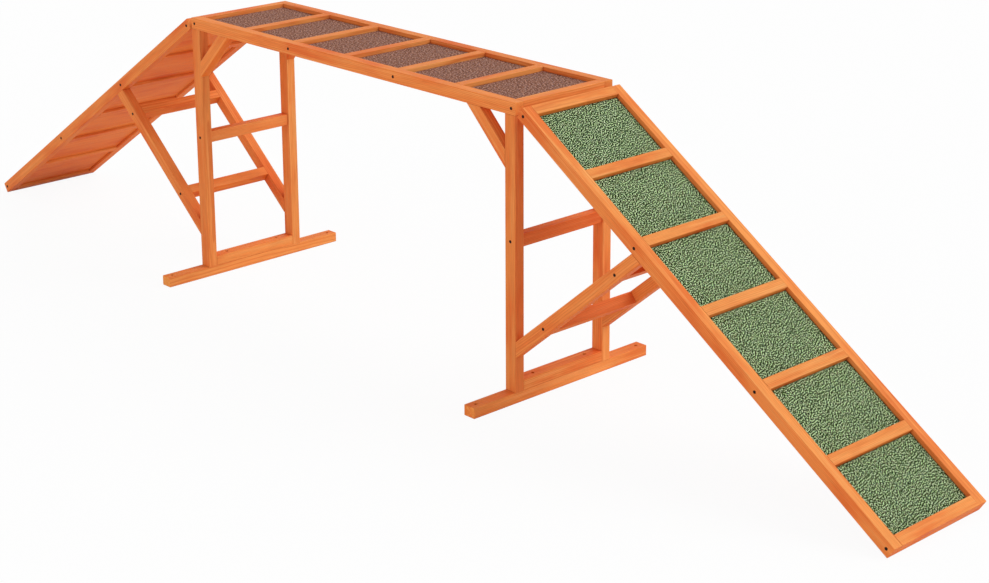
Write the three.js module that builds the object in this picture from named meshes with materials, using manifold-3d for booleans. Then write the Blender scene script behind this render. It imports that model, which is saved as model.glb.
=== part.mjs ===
// Dog agility bridge: a level walkway on two trestles, with a hinged ramp at each end.
// Millimetres. X runs along the walkway, Y towards its rear side and Z up.
// The origin is on the ground, under the middle of the walkway.

import * as THREE from "three";
import { mergeVertices, toCreasedNormals } from "three/addons/utils/BufferGeometryUtils.js";
import Module from "manifold-3d";

// Timber stock. The walkway, struts and rails are planed to one depth, the trestles to another.
const stockThickness = 28;
const railDepth = 32;
const postDepth = 36;
const arrisRadius = 1.2;
const endEase = 1;

// Fits. A seam is the gap between two pieces that are screwed or glued face to face.
const seam = 0.3;
const runningClearance = 0.3;

// Walkway boards. The deck and both ramps are the same framed board.
const boardLength = 1325;
const boardWidth = 330;
const bayCount = 6;
const feltRecess = 11;
const feltThickness = 2.2;
const feltMargin = 0.6;
const feltCorner = 2;
const panelThickness = 11;

// Height of the walkway, and the gap between deck and ramp when a ramp is held level.
const deckTop = 762;
const rampGap = 5;

// Strip hinge under each gap.
const knuckleRadius = 2.7;
const pinRadius = 1.2;
const leafThickness = 1.2;
const leafWidth = 24;
const knuckleCount = 9;
const hingeEndGap = 5;

// Trestles.
const footLength = 605;
const crossRailHeight = 414;
const braceReach = 135;
const pegHoleRadius = 5;
const pegHoleInset = 21.5;
const sillScrewSpacing = 180;
const screwSinkRadius = 5;
const screwSinkDepth = 8;

// Support frame between a trestle and its ramp.
const supportSlope = THREE.MathUtils.degToRad(40.1);
const supportSeatHeight = 140.8;
const lowerRungSetback = 125;
const upperRungSetback = 85.5;

// Fineness of the round stretches.
const arrisSteps = 2;
const endEaseSteps = 2;
const feltCornerSteps = 1;
const hingeSteps = 8;
const pinSteps = 16;
const holeSteps = 20;

// Places worked out from the sizes above.
const halfDeck = boardLength / 2;
const innerWidth = boardWidth - 2 * stockThickness;
const railCentre = (boardWidth - stockThickness) / 2;
const deckUnderside = deckTop - railDepth;
const bayPitch = (boardLength - stockThickness) / bayCount;
const hingeDrop = knuckleRadius + seam;
const hingeX = halfDeck + rampGap / 2;
const hingeZ = deckUnderside - hingeDrop;
const hingeLength = innerWidth - 2 * hingeEndGap;
const rampSlope = slopeThatReachesTheGround();
const rampNormal = new THREE.Vector2(Math.sin(rampSlope), Math.cos(rampSlope));

// Turned down by this angle, the ramp rests the eased lower corner of its far end on the ground.
function slopeThatReachesTheGround() {
  const along = rampGap / 2 + boardLength - endEase;
  const across = hingeDrop + endEase;
  return Math.asin((hingeZ - endEase) / Math.hypot(along, across)) + Math.atan2(across, along);
}

// Materials: orange stained timber, grit felt and bright zinc.
const timberMaterial = new THREE.MeshStandardMaterial({ color: 0xdf7a3b, roughness: 0.6 });
const panelMaterial = new THREE.MeshStandardMaterial({ color: 0xcf6c33, roughness: 0.7 });
const greenFeltMaterial = new THREE.MeshStandardMaterial({ color: 0x6e9164, roughness: 0.95 });
const brownFeltMaterial = new THREE.MeshStandardMaterial({ color: 0x87645a, roughness: 0.95 });
const hingeMaterial = new THREE.MeshStandardMaterial({ color: 0xa9adb0, roughness: 0.4, metalness: 0.9 });

// Joining and cutting of closed meshes.
const wasm = await Module();
wasm.setup();

function toSolid(geometry) {
  const bare = geometry.clone();
  bare.deleteAttribute("normal");
  bare.deleteAttribute("uv");
  const merged = mergeVertices(bare, 1e-4);
  return new wasm.Manifold(
    new wasm.Mesh({
      numProp: 3,
      vertProperties: merged.attributes.position.array,
      triVerts: new Uint32Array(merged.index.array),
    }),
  );
}

function toGeometry(solid) {
  const mesh = solid.getMesh();
  const geometry = new THREE.BufferGeometry();
  geometry.setAttribute("position", new THREE.BufferAttribute(mesh.vertProperties, 3));
  geometry.setIndex(new THREE.BufferAttribute(mesh.triVerts, 1));
  return toCreasedNormals(geometry, Math.PI / 5);
}

function cut(geometry, cutters) {
  const whole = toSolid(geometry);
  return toGeometry(cutters.reduce((rest, cutter) => rest.subtract(toSolid(cutter)), whole));
}

function join(first, second) {
  return toGeometry(toSolid(first).add(toSolid(second)));
}

// A saw cut: a block whose face passes through a point of the XZ plane and looks back along the normal.
function sawBlock(point, normal, size) {
  const block = new THREE.BoxGeometry(size, size, size);
  block.translate(size / 2, 0, 0);
  block.rotateY(-Math.atan2(normal.y, normal.x));
  block.translate(point.x, 0, point.y);
  return block;
}

// Upright drill bits in a row along X, which leave holes from a top level down to a bottom level.
function drillBits(places, radius, top, bottom) {
  return places.map((x) => {
    const bit = new THREE.CylinderGeometry(radius, radius, top - bottom, holeSteps);
    return bit.rotateX(Math.PI / 2).translate(x, 0, (top + bottom) / 2);
  });
}

function addMesh(group, name, geometry, material, x, y, z) {
  const mesh = new THREE.Mesh(geometry, material);
  mesh.name = name;
  mesh.position.set(x, y, z);
  group.add(mesh);
  return mesh;
}

// A rectangle with rounded corners, centred on its own origin.
function roundedRectangle(width, height, radius) {
  const x = width / 2 - radius;
  const y = height / 2 - radius;
  const quarter = Math.PI / 2;
  const outline = new THREE.Shape();
  outline.absarc(x, y, radius, 0, quarter);
  outline.absarc(-x, y, radius, quarter, 2 * quarter);
  outline.absarc(-x, -y, radius, 2 * quarter, 3 * quarter);
  outline.absarc(x, -y, radius, 3 * quarter, 4 * quarter);
  return outline;
}

// A planed timber with eased arrises: length along X, width along Y, depth along Z, centred.
// Ends that stay in view are eased too, and ends that meet another timber are cut square.
function timber(length, width, depth, easedEnds = false) {
  const ease = easedEnds ? endEase : 0;
  const geometry = new THREE.ExtrudeGeometry(roundedRectangle(width, depth, arrisRadius), {
    depth: length - 2 * ease,
    curveSegments: arrisSteps,
    bevelEnabled: easedEnds,
    bevelThickness: ease,
    bevelSize: ease,
    bevelOffset: -ease,
    bevelSegments: endEaseSteps,
  });
  geometry.translate(0, 0, ease - length / 2);
  const alongX = new THREE.Matrix4().makeBasis(
    new THREE.Vector3(0, 1, 0),
    new THREE.Vector3(0, 0, 1),
    new THREE.Vector3(1, 0, 0),
  );
  return geometry.applyMatrix4(alongX);
}

// A timber between two saw cuts. Points and normals lie in the XZ plane of the group, as (x, z):
// each point is where the timber's centre line leaves it, and each normal looks out of its cut face.
function addStrut(group, name, y, from, fromNormal, to, toNormal) {
  const run = to.clone().sub(from);
  const centre = from.clone().add(to).multiplyScalar(0.5);
  const tilt = run.angle();
  const origin = new THREE.Vector2();
  const rough = timber(run.length() + 6 * railDepth, stockThickness, railDepth);
  const saw = (point, normal) =>
    sawBlock(
      point.clone().sub(centre).rotateAround(origin, -tilt),
      normal.clone().rotateAround(origin, -tilt),
      8 * railDepth,
    );
  const strut = cut(rough, [saw(from, fromNormal), saw(to, toNormal)]);
  const mesh = addMesh(group, name, strut, timberMaterial, centre.x, y, centre.y);
  mesh.rotation.y = -tilt;
}

// The floor of a board: one thin panel to each bay, carried by the battens between the bays.
// The battens are as deep as the side rails, so the bays show as recesses above and below.
function floorGeometry() {
  const start = -halfDeck + stockThickness + seam;
  const panelTop = -feltRecess - feltThickness - seam;
  const panelBottom = panelTop - panelThickness;
  const reach = stockThickness / 2;
  const inner = reach - arrisRadius;
  const quarter = Math.PI / 2;
  const battens = Array.from({ length: bayCount - 1 }, (_, i) => (i + 1 - bayCount / 2) * bayPitch);
  const outline = new THREE.Shape();
  outline.moveTo(start, panelBottom);
  for (const x of battens) {
    outline.lineTo(x - reach, panelBottom);
    outline.absarc(x - inner, arrisRadius - railDepth, arrisRadius, 2 * quarter, 3 * quarter);
    outline.absarc(x + inner, arrisRadius - railDepth, arrisRadius, 3 * quarter, 4 * quarter);
    outline.lineTo(x + reach, panelBottom);
  }
  outline.lineTo(-start, panelBottom);
  outline.lineTo(-start, panelTop);
  for (const x of battens.reverse()) {
    outline.lineTo(x + reach, panelTop);
    outline.absarc(x + inner, -arrisRadius, arrisRadius, 0, quarter);
    outline.absarc(x - inner, -arrisRadius, arrisRadius, quarter, 2 * quarter);
    outline.lineTo(x - reach, panelTop);
  }
  outline.lineTo(start, panelTop);
  const width = innerWidth - 2 * seam;
  const geometry = new THREE.ExtrudeGeometry(outline, {
    depth: width,
    curveSegments: arrisSteps,
    bevelEnabled: false,
  });
  geometry.translate(0, 0, -width / 2);
  return geometry.rotateX(Math.PI / 2);
}

// A felt sheet lies on the panel of each bay.
function feltGeometry() {
  const length = bayPitch - stockThickness - 2 * feltMargin;
  const width = innerWidth - 2 * feltMargin;
  return new THREE.ExtrudeGeometry(roundedRectangle(length, width, feltCorner), {
    depth: feltThickness,
    curveSegments: feltCornerSteps,
    bevelEnabled: false,
  });
}

// A framed board, centred on its own top face. The end at -X and the end at +X have their own names.
function board(name, endNames, frontSign, feltMaterial) {
  const group = new THREE.Group();
  const side = timber(boardLength, stockThickness, railDepth, true);
  const middle = -railDepth / 2;
  addMesh(group, name + "_rail_front", side, timberMaterial, 0, frontSign * railCentre, middle);
  addMesh(group, name + "_rail_rear", side, timberMaterial, 0, -frontSign * railCentre, middle);
  const end = timber(innerWidth - 2 * seam, stockThickness, railDepth);
  endNames.forEach((endName, i) => {
    const x = (2 * i - 1) * (halfDeck - stockThickness / 2);
    const rail = addMesh(group, name + "_end_rail_" + endName, end, timberMaterial, x, 0, middle);
    rail.rotation.z = Math.PI / 2;
  });
  addMesh(group, name + "_floor", floorGeometry(), panelMaterial, 0, 0, 0);
  const felt = feltGeometry();
  for (let i = 0; i < bayCount; i += 1) {
    const x = (i + 0.5 - bayCount / 2) * bayPitch;
    addMesh(group, name + "_felt_" + (i + 1), felt, feltMaterial, x, 0, -feltRecess - feltThickness);
  }
  return group;
}

// One leaf of a strip hinge. The pin's axis is Y through the origin and the leaf reaches out along +X.
// Its flat top is level with the top of its knuckles. The other leaf's knuckles take every second place.
function hingeLeaf(firstKnuckle, bore) {
  const leafBottom = knuckleRadius - leafThickness;
  const outline = new THREE.Shape();
  outline.moveTo(leafWidth, leafBottom);
  outline.lineTo(leafWidth, knuckleRadius);
  outline.absarc(0, 0, knuckleRadius, Math.PI / 2, 2 * Math.PI + Math.asin(leafBottom / knuckleRadius));
  if (bore) outline.holes.push(new THREE.Path().absarc(0, 0, bore, 0, 2 * Math.PI));
  const leaf = new THREE.ExtrudeGeometry(outline, {
    depth: hingeLength,
    curveSegments: hingeSteps,
    bevelEnabled: false,
  });
  leaf.translate(0, 0, -hingeLength / 2);
  leaf.rotateX(Math.PI / 2);
  const pitch = hingeLength / knuckleCount;
  const relief = 2 * (knuckleRadius + runningClearance);
  const reliefs = [];
  for (let i = 1 - firstKnuckle; i < knuckleCount; i += 2) {
    const block = new THREE.BoxGeometry(relief, pitch + runningClearance, relief);
    reliefs.push(block.translate(0, (i + 0.5 - knuckleCount / 2) * pitch, 0));
  }
  return cut(leaf, reliefs);
}

// The leaf under the deck holds the pin, and the leaf under the ramp turns on it.
function deckLeafGeometry() {
  return join(hingeLeaf(0, 0), new THREE.CylinderGeometry(pinRadius, pinRadius, hingeLength, pinSteps));
}

function rampLeafGeometry() {
  return hingeLeaf(1, pinRadius + runningClearance);
}

// A trestle: two posts on a foot, tied by a sill and a cross rail, braced to the deck's side rails.
function addTrestle(group, name, frontSign) {
  const x = halfDeck - postDepth / 2;
  const foot = timber(footLength, postDepth, stockThickness, true);
  const pegHole = footLength / 2 - pegHoleInset;
  const pegHoles = drillBits([-pegHole, pegHole], pegHoleRadius, stockThickness, -stockThickness);
  const footZ = stockThickness / 2;
  const footMesh = addMesh(group, name + "_foot", cut(foot, pegHoles), timberMaterial, x, 0, footZ);
  footMesh.rotation.z = Math.PI / 2;

  const sillHeight = stockThickness - seam;
  const sill = timber(innerWidth - 2 * seam, postDepth, sillHeight);
  const sink = sillScrewSpacing / 2;
  const sinkBottom = sillHeight / 2 - screwSinkDepth;
  const sinks = drillBits([-sink, sink], screwSinkRadius, sillHeight, sinkBottom);
  const sillZ = stockThickness + seam + sillHeight / 2;
  const sillMesh = addMesh(group, name + "_sill", cut(sill, sinks), timberMaterial, x, 0, sillZ);
  sillMesh.rotation.z = Math.PI / 2;

  const rail = timber(innerWidth - 2 * seam, stockThickness, railDepth);
  const railMesh = addMesh(group, name + "_cross_rail", rail, timberMaterial, x, 0, crossRailHeight);
  railMesh.rotation.z = Math.PI / 2;

  const postBottom = stockThickness + seam;
  const postTop = deckUnderside - seam;
  const postZ = (postBottom + postTop) / 2;
  const post = timber(postTop - postBottom, stockThickness, postDepth);
  for (const [end, sign] of [["front", frontSign], ["rear", -frontSign]]) {
    const y = sign * railCentre;
    const postMesh = addMesh(group, name + "_post_" + end, post, timberMaterial, x, y, postZ);
    postMesh.rotation.y = Math.PI / 2;
    addCornerBrace(group, name + "_brace_" + end, y);
  }
}

// A corner brace runs at 45 degrees from the post's inner face up to the deck's side rail.
function addCornerBrace(group, name, y) {
  const postFace = halfDeck - postDepth;
  const centreReach = braceReach - railDepth / Math.SQRT2;
  const onPost = new THREE.Vector2(postFace - seam, deckUnderside - centreReach + seam);
  const onDeck = new THREE.Vector2(postFace - centreReach + seam, deckUnderside - seam);
  addStrut(group, name, y, onPost, new THREE.Vector2(1, 0), onDeck, new THREE.Vector2(0, 1));
}

// A support frame: two bars from the posts up to the ramp's side rails, with two rungs between them.
function addSupport(group, name, frontSign) {
  const direction = new THREE.Vector2(Math.cos(supportSlope), Math.sin(supportSlope));
  const seat = new THREE.Vector2(halfDeck, supportSeatHeight);
  const underRamp = new THREE.Vector2(hingeX, hingeZ).addScaledVector(rampNormal, hingeDrop - seam);
  const along = underRamp.clone().sub(seat).dot(rampNormal) / direction.dot(rampNormal);
  const from = seat.clone().addScaledVector(direction, seam / direction.x);
  const to = seat.clone().addScaledVector(direction, along);
  for (const [end, sign] of [["front", frontSign], ["rear", -frontSign]]) {
    const y = sign * railCentre;
    addStrut(group, name + "_bar_" + end, y, from, new THREE.Vector2(-1, 0), to, rampNormal);
  }
  const rung = timber(innerWidth - 2 * seam, stockThickness, railDepth);
  for (const [place, distance] of [["lower", lowerRungSetback], ["upper", along - upperRungSetback]]) {
    const point = seat.clone().addScaledVector(direction, distance);
    const mesh = addMesh(group, name + "_rung_" + place, rung, timberMaterial, point.x, 0, point.y);
    mesh.rotation.order = "YZX";
    mesh.rotation.y = -supportSlope;
    mesh.rotation.z = Math.PI / 2;
  }
}

// One end of the bridge, drawn reaching out along +X: trestle, hinge, ramp and support frame.
// The left end is the same half turned round, where the front side lies at the group's +Y.
function endOfBridge(name, turn, frontSign) {
  const group = new THREE.Group();
  group.rotation.z = turn;
  addTrestle(group, name, frontSign);
  addSupport(group, name + "_support", frontSign);

  const hinge = new THREE.Group();
  hinge.position.set(hingeX, 0, hingeZ);
  group.add(hinge);
  const deckLeaf = addMesh(hinge, name + "_hinge_deck_leaf", deckLeafGeometry(), hingeMaterial, 0, 0, 0);
  deckLeaf.rotation.z = Math.PI;

  const ramp = new THREE.Group();
  ramp.rotation.y = rampSlope;
  hinge.add(ramp);
  addMesh(ramp, name + "_hinge_ramp_leaf", rampLeafGeometry(), hingeMaterial, 0, 0, 0);
  const planks = board(name + "_ramp", ["upper", "lower"], frontSign, greenFeltMaterial);
  planks.position.set(rampGap / 2 + halfDeck, 0, hingeDrop + railDepth);
  ramp.add(planks);
  return group;
}

// The whole bridge.
const bridge = new THREE.Group();
const deck = board("deck", ["left", "right"], -1, brownFeltMaterial);
deck.position.z = deckTop;
bridge.add(deck, endOfBridge("right", 0, -1), endOfBridge("left", Math.PI, 1));

export default bridge;
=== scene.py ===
"""Dog agility bridge: finishes, grit felt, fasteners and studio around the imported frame.

Metres. X runs along the walkway, Y towards its rear side and Z up, as in the frame.
"""

import logging
import math
from dataclasses import dataclass
from enum import Enum
from typing import ClassVar

import bpy
import numpy as np
from mathutils import Euler, Matrix, Vector

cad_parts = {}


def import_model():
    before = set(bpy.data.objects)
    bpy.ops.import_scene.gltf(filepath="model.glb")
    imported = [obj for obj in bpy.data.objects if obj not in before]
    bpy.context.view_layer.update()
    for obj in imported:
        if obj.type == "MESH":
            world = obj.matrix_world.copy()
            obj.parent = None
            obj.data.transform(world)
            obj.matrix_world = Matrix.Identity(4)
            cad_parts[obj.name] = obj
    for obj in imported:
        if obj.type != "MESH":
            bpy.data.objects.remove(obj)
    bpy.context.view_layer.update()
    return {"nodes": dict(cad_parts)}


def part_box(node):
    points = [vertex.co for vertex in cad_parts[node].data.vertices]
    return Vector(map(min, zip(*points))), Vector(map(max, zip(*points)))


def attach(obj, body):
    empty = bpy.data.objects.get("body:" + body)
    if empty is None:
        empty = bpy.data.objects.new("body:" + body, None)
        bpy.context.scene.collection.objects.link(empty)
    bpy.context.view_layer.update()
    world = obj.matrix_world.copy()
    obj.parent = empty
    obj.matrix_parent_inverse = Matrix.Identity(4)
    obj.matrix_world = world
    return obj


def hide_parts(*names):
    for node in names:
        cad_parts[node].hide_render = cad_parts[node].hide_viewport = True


LOG = logging.getLogger("agility_bridge")

Array = np.ndarray
Nodes = dict[str, bpy.types.Object]
Colour = tuple[float, float, float, float]
Triple = tuple[float, float, float]
Span = tuple[float, float]
Socket = bpy.types.NodeSocket
Feed = Socket | float | tuple[float, ...] | Vector | Euler

WHITE: Colour = (1.0, 1.0, 1.0, 1.0)
EVEN: Triple = (1.0, 1.0, 1.0)


class Side(Enum):
    """The two long sides of the bridge, with the sign of Y."""

    FRONT = -1
    REAR = 1

    @property
    def word(self) -> str:
        """The side's word in node names."""
        return self.name.lower()

    @property
    def facing(self) -> Vector:
        """The way out of the bridge on this side."""
        return Vector((0, self.value, 0))


class End(Enum):
    """The two ends of the bridge, with the sign of X."""

    LEFT = -1
    RIGHT = 1

    @property
    def word(self) -> str:
        """The end's word in node names."""
        return self.name.lower()


class Nap(Enum):
    """The two colours of grit felt, with the record's slot name."""

    GREEN = "felt_green"
    BROWN = "felt_brown"


def paint(red: int, green: int, blue: int) -> Colour:
    """Turns a colour as it is seen on a screen into the linear colour that shaders take.

    Each channel c, as a share of 255, becomes ((c + 0.055) / 1.055) ** 2.4, or c / 12.92 where it is dark.

    Args:
        red: Red channel, 0 to 255.
        green: Green channel, 0 to 255.
        blue: Blue channel, 0 to 255.

    Returns:
        Linear red, green, blue and an alpha of 1.
    """
    share = np.array([red, green, blue]) / 255
    linear = np.where(share <= 0.04045, share / 12.92, ((share + 0.055) / 1.055) ** 2.4)
    return (float(linear[0]), float(linear[1]), float(linear[2]), 1.0)


# Node trees


class Graph:
    """A shader node tree under construction."""

    def __init__(self, tree: bpy.types.NodeTree) -> None:
        """Takes the tree to build in.

        Args:
            tree: A group's or a material's node tree.
        """
        self.tree = tree

    def add(self, kind: str, **settings: object) -> bpy.types.Node:
        """Adds a node and sets its options.

        Args:
            kind: The node's type, without its ShaderNode prefix.
            settings: The node's own properties.

        Returns:
            The new node.
        """
        node = self.tree.nodes.new("ShaderNode" + kind)
        for name, value in settings.items():
            setattr(node, name, value)
        return node

    def feed(self, socket: Socket, value: Feed) -> None:
        """Links a socket to another, or sets its plain value.

        Args:
            socket: The input to feed.
            value: An output socket, or a number, vector or colour.
        """
        if isinstance(value, bpy.types.NodeSocket):
            self.tree.links.new(value, socket)
        else:
            socket.default_value = value

    def fill(self, node: bpy.types.Node, **values: Feed) -> bpy.types.Node:
        """Feeds several inputs of a node.

        Args:
            node: The node.
            values: Input names, with an underscore for each space, and what they take.

        Returns:
            The same node.
        """
        for name, value in values.items():
            self.feed(node.inputs[name.replace("_", " ")], value)
        return node

    def maths(self, operation: str, *values: Feed) -> Socket:
        """A number worked out by one Math node.

        Args:
            operation: The node's operation.
            values: Its inputs in order.

        Returns:
            The result's socket.
        """
        node = self.add("Math", operation=operation)
        for socket, value in zip(node.inputs, values):
            self.feed(socket, value)
        return node.outputs[0]

    def vector(self, operation: str, *values: Feed) -> Socket:
        """A vector worked out by one Vector Math node.

        Args:
            operation: The node's operation.
            values: Its inputs in order.

        Returns:
            The result's socket, which is the value for a dot product or a length.
        """
        node = self.add("VectorMath", operation=operation)
        for socket, value in zip(node.inputs, values):
            self.feed(socket, value)
        return node.outputs["Value" if operation in ("DOT_PRODUCT", "LENGTH") else "Vector"]

    def scaled(self, value: Feed, factor: Feed) -> Socket:
        """A vector or colour times a number.

        Args:
            value: The vector or colour.
            factor: The number.

        Returns:
            The product's socket.
        """
        node = self.fill(self.add("VectorMath", operation="SCALE"), Scale=factor)
        self.feed(node.inputs[0], value)
        return node.outputs["Vector"]

    def soft_step(
        self, value: Feed, low: float, high: float, start: float = 0.0, stop: float = 1.0
    ) -> Socket:
        """A smooth rise from one value to another.

        Args:
            value: The number that is looked at.
            low: Where the rise begins.
            high: Where it ends.
            start: The result up to low.
            stop: The result from high on.

        Returns:
            The result's socket.
        """
        node = self.add("MapRange", interpolation_type="SMOOTHSTEP")
        for socket, given in zip(node.inputs, (value, low, high, start, stop)):
            self.feed(socket, given)
        return node.outputs[0]

    def blend(self, share: Feed, first: Feed, second: Feed, mode: str = "MIX") -> Socket:
        """A mix of two colours.

        Args:
            share: How much of the second colour.
            first: The first colour.
            second: The second colour.
            mode: The way the two are mixed. MULTIPLY tinges the first by the second.

        Returns:
            The mixed colour's socket.
        """
        node = self.add("Mix", data_type="RGBA", blend_type=mode)
        self.feed(node.inputs[0], share)
        self.feed(node.inputs[6], first)
        self.feed(node.inputs[7], second)
        return node.outputs[2]

    def noise(self, place: Feed, waves: Triple, detail: float) -> Socket:
        """Cloudy noise with its own fineness along each axis.

        Args:
            place: The point, in metres.
            waves: Waves per metre along X, Y and Z.
            detail: How many finer octaves are added.

        Returns:
            The noise's socket, from 0 to 1 about 0.5.
        """
        node = self.add("TexNoise")
        self.fill(node, Vector=self.vector("MULTIPLY", place, waves), Scale=1.0, Detail=detail)
        return node.outputs[0]

    def ramp(self, value: Feed, colours: tuple[Colour, ...]) -> Socket:
        """A colour read off a ramp with even steps.

        Args:
            value: The place on the ramp, 0 to 1.
            colours: The ramp's colours in order.

        Returns:
            The colour's socket.
        """
        node = self.add("ValToRGB")
        elements = node.color_ramp.elements
        elements[0].color, elements[1].color = colours[0], colours[-1]
        for number, colour in enumerate(colours[1:-1], 1):
            elements.new(number / (len(colours) - 1)).color = colour
        self.feed(node.inputs[0], value)
        return node.outputs[0]

    def relief(self, shader: bpy.types.Node, height: Feed, depth: float) -> None:
        """Gives a shader a fine relief.

        Args:
            shader: The shader.
            height: The height, about 0 to 1.
            depth: What a height of 1 stands for, in metres.
        """
        bump = self.fill(self.add("Bump"), Distance=depth, Height=height)
        self.feed(shader.inputs["Normal"], bump.outputs[0])


class Effect:
    """A shader node group with named inputs and outputs, which several materials use."""

    name = "effect"
    takes: tuple[tuple[str, str], ...] = ()
    gives: tuple[str, ...] = ()

    def __init__(self) -> None:
        """Builds the group once."""
        self.tree = bpy.data.node_groups.new(self.name, "ShaderNodeTree")
        for label, kind in self.takes:
            self.tree.interface.new_socket(label, in_out="INPUT", socket_type="NodeSocket" + kind)
        for label in self.gives:
            self.tree.interface.new_socket(label, in_out="OUTPUT", socket_type="NodeSocketFloat")
        self.graph = Graph(self.tree)
        self.start = self.tree.nodes.new("NodeGroupInput")
        self.stop = self.tree.nodes.new("NodeGroupOutput")
        self.build()

    def build(self) -> None:
        """Links the group's inputs to its outputs."""

    def taken(self, label: str) -> Socket:
        """The socket of an input, as it is read inside the group."""
        return self.start.outputs[label]

    def give(self, label: str, value: Feed) -> None:
        """Feeds an output of the group."""
        self.graph.feed(self.stop.inputs[label], value)

    def placed(self, g: Graph, **values: Feed) -> bpy.types.NodeOutputs:
        """Places the group in a material.

        Args:
            g: The material's graph.
            values: Input names, with an underscore for each space, and what they take.

        Returns:
            The outputs of the group's node.
        """
        return g.fill(g.add("Group", node_tree=self.tree), **values).outputs


class TimberGrain(Effect):
    """Growth rings, streaks, fibres and stain patches of planed softwood.

    The rings are shells about the pith: their phase is (distance from the pith's line + a slow warp)
    / ring width, so the same field gives streaks on a timber's sides and arcs on its ends. Late wood
    rises and falls over two spans of the phase. Waves are counted per metre along the grain and in
    the two directions across it, and the seed times the jump sets each timber's noise apart.
    """

    name = "timber_grain"
    takes = (("Place", "Vector"), ("Seed", "Float"), ("Pith", "Vector"), ("Ring Width", "Float"))
    gives = ("Late", "Streak", "Patch", "Fibre", "Height")
    jump = (0.371, 0.613, 0.457)
    warp = 0.016
    warp_waves = (2.2, 10.0, 10.0)
    streak_waves = (3.0, 95.0, 95.0)
    patch_waves = (5.0, 16.0, 16.0)
    fibre_waves = (22.0, 820.0, 820.0)
    late_rise = (0.35, 0.92)
    late_fall = (0.94, 1.0)
    late_height = 0.4

    def build(self) -> None:
        """Links place, seed, pith and ring width to the masks."""
        g = self.graph
        place = self.taken("Place")
        own = g.vector("ADD", place, g.scaled(self.jump, self.taken("Seed")))
        warp = g.maths("MULTIPLY", g.maths("SUBTRACT", g.noise(own, self.warp_waves, 2), 0.5), self.warp)
        flat = g.vector("MULTIPLY", g.vector("SUBTRACT", place, self.taken("Pith")), (0, 1, 1))
        distance = g.maths("ADD", g.vector("LENGTH", flat), warp)
        phase = g.maths("FRACT", g.maths("DIVIDE", distance, self.taken("Ring Width")))
        fall = g.soft_step(phase, *self.late_fall, 1.0, 0.0)
        late = g.maths("MULTIPLY", g.soft_step(phase, *self.late_rise), fall)
        fibre = g.noise(own, self.fibre_waves, 3)
        self.give("Late", late)
        self.give("Streak", g.noise(own, self.streak_waves, 4))
        self.give("Patch", g.noise(own, self.patch_waves, 3))
        self.give("Fibre", fibre)
        self.give("Height", g.maths("ADD", fibre, g.maths("MULTIPLY", late, self.late_height)))


class WornEdge(Effect):
    """Worn and lit arrises, partly real wear and partly a painted highlight, found as the angle between the
    face's normal and the rounded one, broken up by noise.

    Wear and painted highlight rise over the span of turns, which are 1 - the angle's cosine, times a
    strength that rises from the least to 1 over the noise's span of patches.
    """

    name = "worn_edge"
    takes = (("Place", "Vector"), ("Reach", "Float"))
    gives = ("Mask",)
    rays = 6
    turns = (0.02, 0.25)
    patch_waves = (45.0, 45.0, 45.0)
    patches = (0.34, 0.62)
    least = 0.35

    def build(self) -> None:
        """Links the rounded normal to the mask."""
        g = self.graph
        bevel = g.fill(g.add("Bevel", samples=self.rays), Radius=self.taken("Reach"))
        true = g.add("NewGeometry").outputs["True Normal"]
        turn = g.maths("SUBTRACT", 1.0, g.vector("DOT_PRODUCT", bevel.outputs["Normal"], true))
        patch = g.noise(self.taken("Place"), self.patch_waves, 3)
        broken = g.soft_step(patch, *self.patches, self.least, 1.0)
        self.give("Mask", g.maths("MULTIPLY", g.soft_step(turn, *self.turns), broken))


class PooledStain(Effect):
    """Painted shade in corners, joints and recesses, found by occlusion. The mask falls from 1 to 0 over a
    span of openness.
    """

    name = "pooled_stain"
    takes = (("Reach", "Float"),)
    gives = ("Mask",)
    rays = 6
    openness = (0.35, 0.95)

    def build(self) -> None:
        """Links the occlusion to the mask."""
        g = self.graph
        node = g.fill(g.add("AmbientOcclusion", samples=self.rays), Distance=self.taken("Reach"))
        self.give("Mask", g.soft_step(node.outputs["AO"], *self.openness, 1.0, 0.0))


class Bleach(Effect):
    """Painted light and shade by which way a face looks: how much a face that looks to the light is painted
    paler, how much of that turns to painted shade in a timber's shelter, and which faces look down, to get
    painted underside shade.

    Both spans are of the cosine between the face's normal and a direction: the sun's, or up.
    """

    name = "bleach"
    takes = (("Normal", "Vector"), ("Sunny", "Vector"), ("Shelter", "Float"))
    gives = ("Paled", "Shaded", "Under")
    facing_sun = (0.3, 0.85)
    facing_up = (-0.7, -0.1)

    def build(self) -> None:
        """Links the face's normal, the sunny direction and the shelter to the three masks."""
        g = self.graph
        sunny = g.vector("DOT_PRODUCT", self.taken("Normal"), self.taken("Sunny"))
        reached = g.soft_step(sunny, *self.facing_sun)
        up = g.vector("DOT_PRODUCT", self.taken("Normal"), (0, 0, 1))
        self.give("Paled", g.maths("MULTIPLY", reached, g.maths("SUBTRACT", 1.0, self.taken("Shelter"))))
        self.give("Shaded", g.maths("MULTIPLY", reached, self.taken("Shelter")))
        self.give("Under", g.soft_step(up, *self.facing_up, 1.0, 0.0))


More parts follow.
